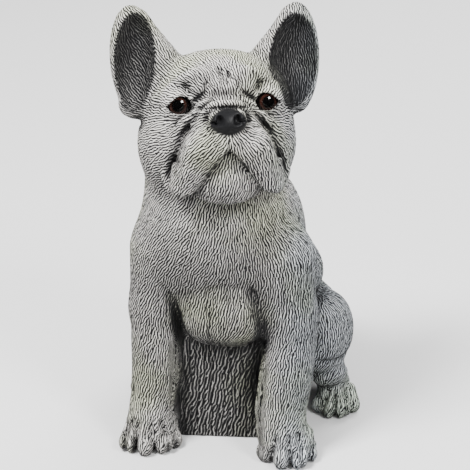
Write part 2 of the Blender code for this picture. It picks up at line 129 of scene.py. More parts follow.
def chain(p, points, radii):
    """Limbs joined end to end."""
    pairs = zip(zip(points, points[1:]), zip(radii, radii[1:]))
    return np.minimum.reduce([limb(p, a, b, ra, rb) for (a, b), (ra, rb) in pairs])


def blend(a, b, k):
    """Union of two fields with a fillet about k wide."""
    h = np.clip(0.5 + 0.5 * (b - a) / k, 0, 1)
    return b + (a - b) * h - k * h * (1 - h)


def cut(a, b, k):
    """The first field less the second, with a rounded edge."""
    return -blend(-a, b, k)


# %% Lines drawn on the stone
def curve(points, steps=6):
    """A smooth line through the points a, b, c, d...

    From b to c it is 0.5 (2b + (c - a)t + (2a - 5b + 4c - d)t^2 + (3b - a - 3c + d)t^3), with t from 0 to 1.
    """
    pts = np.asarray(points, float)
    ends = np.vstack([2 * pts[0] - pts[1], pts, 2 * pts[-1] - pts[-2]])
    t = np.linspace(0, 1, steps, endpoint=False)[:, None]
    runs = []
    for a, b, c, d in zip(ends, ends[1:], ends[2:], ends[3:]):
        slope = (c - a) * t
        square = (2 * a - 5 * b + 4 * c - d) * t**2
        cube = (3 * b - a - 3 * c + d) * t**3
        runs.append(0.5 * (2 * b + slope + square + cube))
    return np.vstack(runs + [pts[-1:]])


def line_distance(q, points):
    """Distance from each point to a line of short runs, and the share of the way along it."""
    best = np.full(len(q), 1e9, q.dtype)
    share = np.zeros(len(q), q.dtype)
    count = len(points) - 1
    for i in range(count):
        start = points[i].astype(q.dtype)
        along = (points[i + 1] - points[i]).astype(q.dtype)
        r = q - start
        h = np.clip(r @ along / (along @ along), 0, 1)
        d = np.sqrt(((r - h[:, None] * along) ** 2).sum(1))
        near = d < best
        best = np.where(near, d, best)
        share = np.where(near, (i + h) / count, share)
    return best, share


def tube(q, points, radius):
    """A roll of flesh along a smooth line."""
    return line_distance(q, curve(points))[0] - radius


def fold(q, points, width, fade=0.0):
    """A bell across a smooth line, exp(-(distance / width)^2), fading over a share of it at each end."""
    d, share = line_distance(q, curve(points))
    ends = np.clip(share / fade, 0, 1) * np.clip((1 - share) / fade, 0, 1) if fade else 1.0
    return np.exp(-((d / width) ** 2)) * ends


def spot(a, b, centre, widths):
    """A round bell in a plane: exp(-(a / first width)^2 - (b / second width)^2), 1 at its centre."""
    return np.exp(-(((a - centre[0]) / widths[0]) ** 2 + ((b - centre[1]) / widths[1]) ** 2))


def mirrored(q, middle=0.0):
    """Left and right at once: x becomes its distance from the middle."""
    m = q.copy()
    m[:, 0] = np.abs(m[:, 0] - np.float32(middle))
    return m


print("a ball of radius 10, felt 3 outside it:", ball(np.float32([[13, 0, 0]]), (0, 0, 0), (10, 10, 10)))

# %% [markdown]
# ## The head
#
# A bulldog's face is folds of skin on a short skull. Big rounded masses come first, then the rolls as tubes
# along smooth lines, then the creases between them. Left and right are made at once by measuring x from
# the middle. The whole head is turned and lifted as one, by looking at the points along its own axes.

# %% Ears and skull
def ear_cup(m, side):
    """The hollow in the front of an ear."""
    centre = (69.5 - 3 * side, -14, 52 - 3 * side)
    radii = (20 + 2.1 * side, 29, 43 - 1.3 * side)
    return ball(m, centre, radii, turned(turn=14, tilt=-6 * side))


def ear(q, side):
    """One upright ear in head space, hollowed in front. The dog's left (side 1) opens a little wider."""
    m = q.copy()
    m[:, 0] *= side
    leaf = ball(m, (67.5 - side, 9, 50 - 1.3 * side), (21.3, 14, 48), turned(turn=8, tilt=-3))
    root = limb(m, (44, 17, 40), (62, 9, 86 - 1.3 * side), 22, 6)
    lobe = ball(m, (62 - 3 * side, 5, 17.5 + 1.5 * side), (17 - 2.5 * side, 15, 13))
    return cut(blend(blend(leaf, root, 5), lobe, 4), ear_cup(m, side), 2)


def skull(q, m):
    """Crown, cheeks, brow and the mass of the muzzle under its folds."""
    d = ball(q, (0, 12, 15), (62, 54, 45))
    d = blend(d, ball(mirrored(q, -3), (36, 4, -18), (31, 46, 42)), 14)
    d = blend(d, ball(q, (0, -30, -20), (47, 34, 34)), 10)
    d = blend(d, ball(m, (20, -29, 31), (11, 9, 11)), 8)
    ridge = [(14, -27, 41), (22, -33, 42), (30, -32, 39.5), (37, -29, 34), (45, -24, 28), (53, -16, 20)]
    d = blend(d, tube(m, ridge, 2.5), 10)
    # the lower jaw is set back behind the lips
    chin = blend(ball(q, (0, -41, -41), (26, 21, 15)), ball(q, (0, -38, -49), (31, 22, 18)), 6)
    return blend(d, chin, 3)


print("the field near the tip of the left ear:", ear(np.float32([[66.5, 9, 98]]), 1))

# %% Muzzle, nose and brow
def lip_height(x):
    """Height of the edge of the upper lip, by distance from the middle."""
    line = curve([(0, -22), (4, -24), (8, -28.5), (15, -37.5), (20, -46), (27, -54), (36, -58.5), (44, -60),
                  (52, -56)])
    return np.interp(x, line[:, 0], line[:, 1]).astype(x.dtype)


def muzzle(d, q, m, front):
    """A roll over the nose that flows into hanging flews cut along the lip, and a roll down each cheek."""
    x, z = m[:, 0], m[:, 2]
    hang = [(11, -57, -9), (20, -52, -20), (29, -46, -35), (33, -41, -48)]
    flews = chain(m, hang, [13, 19.5, 17.5, 15])
    flews = blend(flews, ball(q, (0, -56, -16), (20, 15.5, 18)), 6)
    flews = blend(flews, ball(q, (0, -51, 6), (17, 11, 12)), 3)
    flews = blend(flews, ball(m, (19, -42, 0), (14, 14, 12)), 6)
    over_nose = [(0, -61, 17.5), (8.5, -60, 16), (14.3, -57.5, 12.8), (18.3, -54.5, 8.3), (22, -52, 2),
                 (26, -50, -6)]
    flews = blend(flews, tube(m, over_nose, 4.3), 4)
    flews = cut(flews, 0.75 * (z - lip_height(x)), 2.5)
    d = blend(d, flews, 2)
    cheek = [(14, -41, 18), (20, -45, 14.5), (26, -47, 9.5), (33, -46, 3.5), (38, -44, -2.5),
             (41.5, -41.5, -9), (44, -39, -17), (46, -36.5, -25), (48, -34, -33), (49, -32, -42),
             (46, -33, -51)]
    d = blend(d, tube(m, cheek, 4.9), 3)
    inner = [(20.5, 10.6), (24.5, 5.4), (29.5, -1), (34, -8), (36.8, -13.5), (39.5, -21.5), (41, -28.5),
             (41, -35)]
    outer = [(22, 17), (29, 11), (34.5, 5.5), (38.8, 0), (42.5, -6.5), (46, -13)]
    d = d + 1.9 * fold(m[:, [0, 2]], inner, 2.5, 0.15) * front
    d = d + 1.2 * fold(m[:, [0, 2]], outer, 2.2, 0.2) * front
    return d + 2.0 * spot(x, z, (42, -33), (3.5, 9)) * front


def nose(d, q, m, front):
    """Nose pad with nostrils, a crease at each side of it and the cleft below it."""
    z = m[:, 2]
    pad = ball(q, (0, -64, 2.2), (13, 12, 10.8))
    pad = blend(pad, ball(m, (9, -63, 3.8), (6.5, 11, 8.4)), 4)
    pad = cut(pad, ball(m, (7, -74, 4.5), (3, 6, 4.7), turned(tilt=-15)), 1.5)
    pad = cut(pad, ball(m, (11.5, -72, 2), (4, 5, 1.7), turned(tilt=10)), 1.5)
    slit = [(10, -8), (14, -4), (16.5, 1.5), (20, 2.5)]
    d = d + 1.3 * fold(m[:, [0, 2]], slit, 2.0, 0.3) * front
    d = blend(d, pad, 2)
    cleft = np.clip((-z - 6) / 6, 0, 1) * np.clip((z + 34) / 8, 0, 1) * front
    return d + 0.8 * np.exp(-((m[:, 0] / 1.8) ** 2)) * cleft


def frown(d, q, m, front):
    """Creases of the brow and the hollow between the eyes."""
    xz = m[:, [0, 2]]
    d = d + 1.8 * fold(xz, [(33, 35), (31, 31), (28.5, 26), (26, 21)], 2.4, 0.35) * front
    inner = [(12.5, 38), (13, 31), (14.5, 26.5), (18, 22.5), (23, 19), (26, 18)]
    d = d + 1.8 * fold(xz, inner, 2.0, 0.15) * front
    d = d + 2.2 * spot(m[:, 0], m[:, 2], (0, 23), (12, 4)) * front
    for middle in ([(-3, 48), (-1, 38), (0.5, 28)], [(4, 44), (5.5, 38), (4, 30)]):
        d = d + 1.7 * fold(q[:, [0, 2]], middle, 1.7, 0.25) * front
    return d


print("height of the lip at the middle and 44 units out:", lip_height(np.float32([0, 44])))

# %% Lids and the whole head
def lids(d, m):
    """A thick round rim around each eye."""
    outside = EYE_RADIUS + LID_THICKNESS
    return blend(d, ball(m, EYE_CENTRE, (outside, outside, outside)), 5)


def opened(d, m):
    """The opening of each eye lies between two curves that meet at the corners."""
    x, y, z = (m - np.float32(EYE_CENTRE)).T
    upper, lower = (curve(line) * EYE_RADIUS / DRAWN_EYE_RADIUS for line in (UPPER_LID, LOWER_LID))
    above = z - np.interp(x, upper[:, 0], upper[:, 1]).astype(m.dtype)
    below = np.interp(x, lower[:, 0], lower[:, 1]).astype(m.dtype) - z
    return cut(d, np.maximum(0.8 * np.maximum(above, below), y), 1.5)


def head(p):
    """The whole head, turned and lifted on the neck."""
    q = into(p, HEAD_CENTRE, HEAD_AXES)
    m = mirrored(q)
    front = np.clip((-m[:, 1] - 5) / 15, 0, 1)
    d = skull(q, m)
    d = muzzle(d, q, m, front)
    d = nose(d, q, m, front)
    d = blend(d, np.minimum(ear(q, 1), ear(q, -1)), 4)
    d = d + 2.0 * spot(m[:, 0], m[:, 2], (70, 1), (6, 3))
    return opened(frown(lids(d, m), q, m, front), m)


print("the middle of the head lies deep inside:", head(np.float32([HEAD_CENTRE])))

# %% [markdown]
# ## The body
#
# The dog sits square on straight forelegs. The block of stone under its belly is what keeps a casting like
# this from snapping at the ankles, and its face is carved with upright grooves like bark.

# %% Trunk and legs
def trunk(p):
    """Neck, chest, back, flanks, rump and a stub of tail."""
    d = limb(p, (-18, -34, 262), (-15, -36, 204), 54, 60)
    d = blend(d, ball(p, (-8, -26, 164), (70, 60, 72)), 26)
    d = blend(d, limb(p, (-1, -4, 186), (0, 74, 82), 58, 62), 24)
    d = blend(d, ball(mirrored(p, HIND_SHIFT), (36, 30, 124), (34, 42, 30)), 12)
    d = blend(d, ball(p, (0, 68, 52), (78, 60, 60)), 20)
    return blend(d, limb(p, (0, 116, 22), (3, 128, 18), 14, 10), 10)


def forelegs(d, p):
    """Shoulders, straight forelegs with an elbow behind, and the brisket between them."""
    d = blend(d, limb(mirrored(p, -3), (51, -50, 172), (58, -58, 122), 31, 23.5), 14)
    left = chain(p, [(60, -58, 124), (59, -64, 98), (57, -72, 72), (54, -82, 44), (56, -88, 26)],
                 [22.5, 22.5, 23.5, 22.5, 22])
    right = chain(p, [(-60, -58, 124), (-59, -64, 98), (-58, -72, 70), (-60.5, -81, 44), (-62, -88, 26)],
                  [23, 23.5, 22.5, 19.5, 19.5])
    legs = blend(np.minimum(left, right), limb(mirrored(p), (59, -50, 112), (60, -37, 98), 20, 15), 10)
    d = blend(d, legs, 8)
    bulge = limb(p, (-12, -68, 120), (14, -68, 120), 22, 22)
    return blend(d, blend(ball(p, (1, -66, 127), (39, 27, 32)), bulge, 8), 9)


def haunches(d, p):
    """Folded thighs, hocks and hind feet."""
    m = mirrored(p, HIND_SHIFT)
    d = blend(d, ball(m, (58, 42, 58), (32, 50, 46)), 12)
    d = blend(d, ball(m, (72, 20, 70), (28, 46, 32), turned(lift=-14)), 5)
    d = blend(d, limb(m, (79, 2, 42), (83, 28, 14), 17, 14), 3)
    d = blend(d, limb(m, (80, 44, 14), (85, 2, 13), 14, 14), 4)
    near = np.clip((30 - p[:, 1]) / 20, 0, 1) * np.clip((p[:, 1] + 40) / 8, 0, 1)
    near *= np.clip((m[:, 0] - 66) / 8, 0, 1)
    return d + 2.4 * fold(m[:, [0, 2]], [(70, 62), (80, 61), (88, 59), (96, 56), (106, 58)], 2.8) * near


print("the middle of the chest lies deep inside:", trunk(np.float32([[-8, -26, 164]])))

# %% The block under the belly and the paws
def web(d, p):
    """The upright block of stone under the belly. Its bark is carved later, with the fur."""
    x, y, z = p.T
    face = -66 + 0.11 * x
    sides = np.maximum(np.abs(x) - WEB_HALF_WIDTH, z - 135)
    return blend(d, np.maximum(sides, np.maximum(face - y, y - 60)), 6)


def toes(d, p, middle, rise, places):
    """Rounded toes at (x, y, radius), spread from the middle of the paw, with a groove between each two."""
    for x, y, r in places:
        knuckle = middle + 0.65 * (x - middle)
        d = blend(d, limb(p, (knuckle, y + 16, rise), (x, y, r - 1.5), r * 0.9, r), 1.2)
    for (xa, ya, ra), (xb, yb, rb) in zip(places, places[1:]):
        x, y = (xa * rb + xb * ra) / (ra + rb), (ya + yb) / 2
        knuckle = middle + 0.65 * (x - middle)
        near = np.clip((y + 14 - p[:, 1]) / 8, 0, 1)
        d = d + 2.2 * fold(p[:, [0, 2]], [(x, 0), (x, 0.6 * rise), (knuckle, 1.7 * rise)], 1.9) * near
    return d


def paws(d, p):
    """Two broad forepaws, unlike each other as in the carving, and two hind paws."""
    pads = np.minimum(ball(p, (62, -86, 14), (25, 24, 18)), ball(p, (-62, -86, 13), (24, 24, 17)))
    left = [(44.5, -97, 9.5), (59.5, -106, 10.5), (74, -104, 9.5), (80.5, -92, 8)]
    right = [(-81, -92, 8), (-77, -103, 10), (-62, -106, 10), (-47.5, -100, 9.5), (-40, -90, 7.5)]
    hind = [(72, -4, 8), (81, -11, 9), (92, -9, 9), (100, 2, 8)]
    d = toes(toes(blend(d, pads, 7), p, 60, 18, left), p, -62, 18, right)
    return toes(d, mirrored(p, FOOT_SHIFT), 85, 13, hind)


def coat(d, p):
    """Creases of the armpits, the fold and seam of the brisket and the rolls of the throat."""
    front = np.clip((-p[:, 1] - 30) / 20, 0, 1)
    xz = p[:, [0, 2]]
    for armpit in ([(-52, 158), (-46, 144), (-40, 127), (-35, 107), (-31, 96)],
                   [(22, 162), (29, 146), (34, 126), (38, 107)]):
        d = d + 3.0 * fold(xz, armpit, 4.5, 0.25) * front
    d = d + 0.8 * fold(xz, [(-30, 150), (-9, 157), (14, 158), (33, 146)], 4.0, 0.3) * front
    d = d + 1.4 * fold(xz, [(-6, 148), (-7, 120), (-6, 96)], 2.5, 0.2) * front
    return d - 3.0 * spot(np.abs(p[:, 0] + 8), p[:, 2], (19, 216), (11, 9)) * front


print("the middle of the block lies deep inside:", web(np.float32([99]), np.float32([[0, 0, 60]])))

# %% The whole figure
BODY_TOP = 325.0
HEAD_BOTTOM = 195.0
FAR = 99.0


def figure(p):
    """The field of the whole dog. Points well above or below the neck skip the part that is far off."""
    d = np.full(len(p), FAR, p.dtype)
    low, high = p[:, 2] < BODY_TOP, p[:, 2] > HEAD_BOTTOM
    q = p[low]
    d[low] = web(haunches(forelegs(trunk(q), q), q), q)
    d[high] = blend(d[high], head(p[high]), 10)
    d[low] = coat(paws(d[low], q), q)
    return np.maximum(d, -p[:, 2])


print("the field inside the neck, at the nose and in the air:",
      figure(np.float32([[-16, -35, 240], [-24, -110, 300], [0, -200, 200]])).round(1))

# %% [markdown]
# ## From a field to a surface
#
# A mesh of the zero surface comes from a grid. Finding it on a fine grid everywhere would be slow, so each
# grid is worked out only near the surface that the coarser one found. A surface net then puts one point in
# each cell that the surface crosses, and a four-sided face across each grid edge that it crosses.

# %% Ever finer grids
FIELD_LOW = np.array([-135.0, -140.0, -11.2])
FIELD_HIGH = np.array([135.0, 150.0, 400.0])
COARSE_STEP = 11.2
HALVINGS = 3
BAND_STEPS = 3.5
BAND_UNITS = 1.0
CORNERS = [(i, j, k) for i in (0, 1) for j in (0, 1) for k in (0, 1)]


def refined():
    """The field on a grid halved a few times, worked out anew only where |field| < 3.5 steps + 1."""
    cells = np.ceil((FIELD_HIGH - FIELD_LOW) / COARSE_STEP).astype(int)
    values = None
    for level in range(HALVINGS + 1):
        step = COARSE_STEP / 2**level
        counts = [np.arange(n * 2**level + 1) for n in cells]
        axes = [(low + step * count).astype(np.float32) for low, count in zip(FIELD_LOW, counts)]
        if values is None:
            near = np.ones([len(a) for a in axes], bool)
            values = np.zeros(near.shape, np.float32)
        else:
            values = values[np.ix_(*[np.arange(len(a)) // 2 for a in axes])]
            near = np.abs(values) < BAND_STEPS * step + BAND_UNITS
        i, j, k = np.nonzero(near)
        values[near] = figure(np.stack([axes[0][i], axes[1][j], axes[2][k]], 1))
        print(f"grid of {step:.2f}: {len(i)} points, {time.time() - started:.0f} s")
    return values, step


values, step = refined()

# %% One point in each crossed cell
FILLING = 0.1


def corner_codes(inside):
    """A number for each cell that says which of its eight corners lie inside."""
    n = np.array(inside.shape)
    codes = np.zeros(n - 1, np.uint8)
    for bit, (i, j, k) in enumerate(CORNERS):
        codes |= inside[i:n[0] - 1 + i, j:n[1] - 1 + j, k:n[2] - 1 + k].astype(np.uint8) << bit
    return codes


def in_one_piece(corners):
    """Whether these corners of a cell are linked along its edges."""
    reached = corners[:1]
    for here in reached:
        for other in corners:
            if other not in reached and sum(abs(a - b) for a, b in zip(here, other)) == 1:
                reached.append(other)
    return len(reached) == len(corners)


def filled(f, step):
    """Fill the cells that two sheets of the surface would share, so that each edge keeps two faces."""
    shared = []
    for code in range(256):
        within = [c for bit, c in enumerate(CORNERS) if code >> bit & 1]
        without = [c for bit, c in enumerate(CORNERS) if not code >> bit & 1]
        shared.append(not (in_one_piece(within) and in_one_piece(without)))
    shared = np.array(shared)
    while True:
        cell = np.argwhere(shared[corner_codes(f < 0)])
        if not len(cell):
            return f
        for corner in CORNERS:
            place = tuple((cell + corner).T)
            f[place] = np.minimum(f[place], -FILLING * step)


def net_points(f):
    """One point in each cell that the surface crosses, at the mean of the crossings of its edges."""
    codes = corner_codes(f < 0)
    mixed = (codes > 0) & (codes < 255)
    cell = np.argwhere(mixed)
    number = np.full(mixed.shape, -1, np.int32)
    number[mixed] = np.arange(len(cell))
    total = np.zeros((len(cell), 3))
    hits = np.zeros(len(cell))
    for low in CORNERS:
        for axis in range(3):
            if low[axis]:
                continue
            high = list(low)
            high[axis] = 1
            fa, fb = f[tuple((cell + low).T)], f[tuple((cell + high).T)]
            crossed = (fa < 0) != (fb < 0)
            place = np.repeat(np.array(low, float)[None], len(cell), 0)
            place[:, axis] += np.where(crossed, fa / np.where(crossed, fa - fb, 1), 0)
            total += np.where(crossed[:, None], place, 0)
            hits += crossed
    return cell + total / hits[:, None], number


values = filled(values, step)
cells, number = net_points(values)
print(f"{len(cells)} cells are crossed, {time.time() - started:.0f} s")

# %% A face across each crossed edge
def net_faces(f, number):
    """A four-sided face across each grid edge that the surface crosses, facing outwards."""
    inside = f < 0
    faces = []
    for axis in range(3):
        low = [slice(1, -1)] * 3
        low[axis] = slice(0, -1)
        high = list(low)
        high[axis] = slice(1, None)
        start = np.ones(3, int)
        start[axis] = 0
        edge = np.argwhere(inside[tuple(low)] != inside[tuple(high)]) + start
        one, two = [a for a in range(3) if a != axis]
        if axis == 1:
            one, two = two, one
        ring = []
        for back, down in ((-1, -1), (0, -1), (0, 0), (-1, 0)):
            cell = edge.copy()
            cell[:, one] += back
            cell[:, two] += down
            ring.append(number[tuple(cell.T)])
        ring = np.stack(ring, 1)
        outwards = ~inside[tuple(edge.T)]
        ring[outwards] = ring[outwards][:, ::-1]
        faces.append(ring)
    return np.vstack(faces)


faces = net_faces(values, number)
print(f"{len(faces)} faces between them, {time.time() - started:.0f} s")

# %% [markdown]
# ## Onto the true surface
#
# The net's points are a little off. One step down the slope of the field puts each of them on it, and the
# same slope gives the direction straight out of the stone, which the fur is carved along.

# %% Slopes and hollows
NUDGE = 0.4
LONGEST_STEP = 0.7
HOLLOW_REACH = (4.0, 12.0)
HOLLOW_POWER = 1.2


def slope(p, f):
    """The field's rate of change along each axis: (field a small step on - field here) / step."""
    steps = np.eye(3, dtype=np.float32) * NUDGE
    return np.stack([(figure(p + s) - f) / NUDGE for s in steps], 1)


def hollowness(p, out):
    """How shut in each point is: a step out of a crease gains less distance than its own length."""
    shut = np.zeros(len(p), np.float32)
    for reach in HOLLOW_REACH:
        gained = figure(p + out * np.float32(reach)) / reach
        shut = np.maximum(shut, np.clip(1 - gained, 0, 1))
    return shut**HOLLOW_POWER


points = (cells * step + FIELD_LOW).astype(np.float32)
felt = figure(points)
rise = slope(points, felt)
steepness = np.sqrt((rise**2).sum(1))[:, None] + 1e-6
points -= np.clip(felt[:, None] / steepness, -LONGEST_STEP, LONGEST_STEP) * rise / steepness
out = rise / steepness
points[:, 2] = np.maximum(points[:, 2], 0)
# How shut in each point is; the material paints shade with it into creases and hollows.
hollow = hollowness(points, out)
print(f"points moved by {np.abs(felt).mean():.3f} units on average, {time.time() - started:.0f} s")

# %% [markdown]
# ## The way the fur lies
#
# The carver combed the stone with short strokes. Their direction is set by a few arrows, each with a reach:
# at every point the arrows are averaged by nearness, and what is left after taking out the part that points
# into the stone is the way the fur lies there. The carving itself is a sum of short wave packets, one round
# each scattered seed, all with their crests along the fur.

# %% Arrows that comb the coat
BODY_ARROWS = [
    ((8, -80, 228), (0.35, 0, -1), 22), ((12, -90, 196), (0.5, 0, -0.9), 24),
    ((52, -78, 196), (0.5, 0, -1), 26), ((16, -92, 168), (0.7, 0, -0.8), 24),
    ((30, -88, 150), (-0.2, 0, -1), 18), ((12, -96, 132), (-0.25, 0, -1), 20),
    ((24, -88, 106), (-0.6, 0, -0.7), 18), ((62, -84, 120), (0.15, 0, -1), 30),
    ((60, -92, 70), (0, -0.2, -1), 30), ((60, -104, 30), (0, -1, -0.8), 22),
    ((84, -50, 160), (0.2, -0.2, -1), 34), ((74, 10, 150), (0, 0.5, -0.9), 40),
    ((98, 20, 84), (0, -0.5, -0.9), 34), ((98, 0, 50), (0, -0.4, -1), 26),
    ((90, -4, 16), (0, -1, -0.4), 22), ((30, 50, 190), (0.1, 0.6, -0.9), 50),
    ((40, 120, 80), (0.1, 0.2, -1), 50),
]
HEAD_ARROWS = [
    ((4, -62, 22), (0.1, 0, 1), 12), ((8, -44, 38), (0.15, 0.4, 1), 16),
    ((28, -36, 42), (0.6, 0.4, 0.8), 16), ((20, 0, 60), (0.3, 1, 0.1), 34),
    ((50, -28, 12), (1, 0.5, 0.3), 16), ((50, -30, -10), (0.8, 0.7, -0.5), 20),
    ((52, -10, -34), (0.3, 0.8, -0.7), 26), ((20, -72, -18), (0.9, 0, -0.6), 16),
    ((34, -60, -42), (0.3, 0, -1), 16), ((10, -60, -52), (0.3, 0, -1), 16),
    ((72, -6, 60), (0.3, 0, 1), 30), ((60, 26, 60), (0.2, 0, 1), 30),
    ((30, -46, 6), (0.7, 0, -0.7), 12),
]
FAR_WEIGHT = 1e-5


def mirrored_arrow(start, way, side):
    """An arrow on one side of the middle."""
    flip = np.array([side, 1, 1])
    return np.array(start, float) * flip, np.array(way, float) * flip


def combed(p, out):
    """Unit directions along the surface: the arrows averaged by nearness, less their part along `out`.

    An arrow weighs exp(-n) + 0.00001 / (1 + n), where n = distance^2 / (2 reach^2).
    """
    total = np.zeros_like(p)
    coats = ((BODY_ARROWS, np.zeros(3), np.eye(3)), (HEAD_ARROWS, HEAD_CENTRE, HEAD_AXES))
    for arrows, centre, axes in coats:
        for start, way, reach in arrows:
            for side in (1, -1):
                spot_at, lies = mirrored_arrow(start, way, side)
                spot_at, lies = axes @ spot_at + centre, axes @ lies
                near = ((p - spot_at.astype(np.float32)) ** 2).sum(1) / (2 * reach * reach)
                weight = np.exp(-np.minimum(near, 30)) + FAR_WEIGHT / (1 + near)
                total += weight[:, None] * (lies / np.linalg.norm(lies)).astype(np.float32)
    total -= (total * out).sum(1)[:, None] * out
    return total / (np.sqrt((total**2).sum(1))[:, None] + 1e-9)


lies = combed(points, out)
across = np.cross(out, lies).astype(np.float32)
print(f"the fur points down on {(lies[:, 2] < 0).mean():.0%} of the surface")

# %% Short wave packets
MIXERS = (73856093, 19349663, 83492791, 2654435761)
MULTIPLIER = 1103515245
INCREMENT = 12345


def scattered(cell, seed):
    """Four even random numbers for each cell of space, the same on every run."""
    a, b, c, d = MIXERS
    mixed = cell[:, 0] * a ^ cell[:, 1] * b ^ cell[:, 2] * c ^ seed * d
    numbers = []
    for turn in (1, 2, 3, 4):
        mixed = (mixed * MULTIPLIER + INCREMENT * turn) & 0x7FFFFFFF
        numbers.append(((mixed >> 8) & 0xFFFF) / 65536)
    return np.stack(numbers, 1).astype(np.float32)


def strokes(p, across, spacing, reach, seed):
    """Sum over nearby seeds of bell * cos(2 pi (offset along `across` / spacing + phase)).

    The bell is (1 - (distance / reach)^2)^2, and the sum is divided by the root of the sum of bell^2.
    """
    cell = np.floor(p / reach).astype(np.int64)
    total = np.zeros(len(p), np.float32)
    weight = np.zeros(len(p), np.float32)
    for shift in np.ndindex(3, 3, 3):
        here = cell + np.array(shift) - 1
        dice = scattered(here, seed)
        offset = p - (here + dice[:, :3]) * np.float32(reach)
        bell = np.clip(1 - (offset**2).sum(1) / reach**2, 0, 1) ** 2
        total += bell * np.cos(2 * math.pi * ((offset * across).sum(1) / spacing + dice[:, 3]))
        weight += bell**2
    return total / np.sqrt(weight + 1e-3)


print("the dice of the first cell:", scattered(np.array([[0, 0, 0]]), 1).round(3))

# %% [markdown]
# ## Carving the fur into the mesh
#
# Broad locks and the bark of the block are real geometry, because a shape that shows has to be in the mesh.
# The finest strokes are thinner than the mesh can hold, so the material adds them in step with the same
# directions, which the mesh carries as an attribute.

# %% Where paint, ear cups, bark and fur lie, and where shade and light are painted
NOSE_PAD = (0, 2.6)
NOSE_PAD_HALF = (15.2, 11.0)
NOSE_BACK = -56.0
PAINT_EDGE = (0.94, 1.04)
HEAD_FROM = (232, 250)
CUP_EDGE = (0.5, 3)
LID_EDGE = (3, 9)
BARK_FRONT = (52, 58)
BARK_SIDE = (6, 12)
BARK_TOP = 112
BARK_FADE = (0, 16)
BARK_FACING = (0.3, 0.7)
PAW_TOP = (24, 40)
PAW_LIGHTER = 0.45
LOW_SHADE_FROM = (20, 70)
LOW_SHADE_TO = (130, 240)
SHADED_SIDE_FROM = (35, 75)
FUR_LOST = 0.85


def eased(a, low, high):
    """0 below one value, 1 above the other, and 3t^2 - 2t^3 between them."""
    t = np.clip((a - low) / (high - low), 0, 1)
    return t * t * (3 - 2 * t)


x, y, z = points.T
head_points = into(points, HEAD_CENTRE, HEAD_AXES)
face = mirrored(head_points)
on_head = eased(z, *HEAD_FROM)
bark = eased(-y, *BARK_FRONT) * eased(WEB_HALF_WIDTH - np.abs(x), *BARK_SIDE)
bark *= eased(BARK_TOP - z, *BARK_FADE)
bark *= eased(-out[:, 1], *BARK_FACING)
pad_x = (face[:, 0] - NOSE_PAD[0]) / NOSE_PAD_HALF[0]
pad_z = (face[:, 2] - NOSE_PAD[1]) / NOSE_PAD_HALF[1]
nose_paint = 1 - eased(np.hypot(pad_x, pad_z), *PAINT_EDGE)
nose_paint *= on_head * eased(NOSE_BACK - face[:, 1], -1, 1)
# Painted shade inside the ear cups.
cup_shade = np.zeros_like(hollow)
for side in (1, -1):
    own_side = head_points * np.float32((side, 1, 1))
    cup_shade = np.maximum(cup_shade, 1 - eased(ear_cup(own_side, side), *CUP_EDGE))
cup_shade *= on_head
# Less of that painted shade low down, in the grooves of the paws.
hollow *= 1 - PAW_LIGHTER * (1 - eased(z, *PAW_TOP))
# Painted shade on the legs, chest and haunches, fading out on the paws and below the head, and none on the
# block.
low_shade = eased(z, *LOW_SHADE_FROM) * (1 - eased(z, *LOW_SHADE_TO)) * (1 - bark)
# Painted light: a bluer tint on the dog's left, the side away from the key light, and a warmer one on the lit
# side.
shaded_side = eased(x, *SHADED_SIDE_FROM)
from_eye = np.sqrt(((face - np.float32(EYE_CENTRE)) ** 2).sum(1))
lid_edge = 1 - eased(from_eye, EYE_RADIUS + LID_EDGE[0], EYE_RADIUS + LID_EDGE[1])
lid_edge *= on_head
fur = (1 - bark) * (1 - FUR_LOST * np.clip(nose_paint + lid_edge, 0, 1))
print(f"fur on {fur.mean():.0%} of the points, bark on {bark.mean():.0%}, paint on {nose_paint.mean():.1%}")

# %% How deep the strokes go
LOCK_SPACING = 3.3
LOCK_REACH = 6.5
LOCK_DEPTH = 0.42
LOCK_LEVEL = 0.15
LOCK_LIMIT = 1.2
TUFT_SPACING = 8.0
TUFT_REACH = 14.0
TUFT_DEPTH = 0.25
BARK_SPACING = 5.0
BARK_REACH = 12.0
BARK_DEPTH = 1.3
BARK_LEVEL = 0.3
BARK_LIMIT = 1.4
GROUND_FADE = (0.5, 4)
upright = np.zeros_like(points)
upright[:, 0] = 1
locks = np.clip(LOCK_LEVEL - strokes(points, across, LOCK_SPACING, LOCK_REACH, 1), 0, LOCK_LIMIT)
tufts = np.clip(-strokes(points, across, TUFT_SPACING, TUFT_REACH, 2), 0, LOCK_LIMIT)
ribs = np.clip(BARK_LEVEL - strokes(points, upright, BARK_SPACING, BARK_REACH, 3), 0, BARK_LIMIT)
groove = fur * locks + bark * ribs
depth = fur * (LOCK_DEPTH * locks + TUFT_DEPTH * tufts)
depth += bark * BARK_DEPTH * ribs
depth *= eased(z, *GROUND_FADE)
carved = points - out * depth[:, None]
print(f"carved {depth.max():.2f} units deep at most, {time.time() - started:.0f} s")

# %% Put the surface into a mesh
def attribute(mesh, name, values, kind):
    """A value for each vertex, which the material reads by name."""
    layer = mesh.attributes.new(name, kind, "POINT")
    field = "vector" if kind == "FLOAT_VECTOR" else "value"
    layer.data.foreach_set(field, np.ascontiguousarray(values, np.float32).ravel())


def new_object(name, data):
    """An object of this mesh, light or camera in the scene."""
    made = bpy.data.objects.new(name, data)
    bpy.context.scene.collection.objects.link(made)
    return made


mesh = bpy.data.meshes.new("statue_cast")
mesh.from_pydata((carved * UNIT).tolist(), [], faces.tolist())
attribute(mesh, "across", across, "FLOAT_VECTOR")
masks = {"groove": groove, "hollow": hollow, "paint": nose_paint, "bark": bark, "fur": fur, "cup_shade": cup_shade,
         # Painted shade low on the body, a painted tint of the shaded side, and painted light on faces that
         # point up:
         "low_shade": low_shade, "shaded_side": shaded_side, "up": out[:, 2]}
for name, mask in masks.items():
    attribute(mesh, name, mask, "FLOAT")
fine = new_object("statue_fine", mesh)
print(f"the mesh carries {len(mesh.attributes)} layers, {time.time() - started:.0f} s")

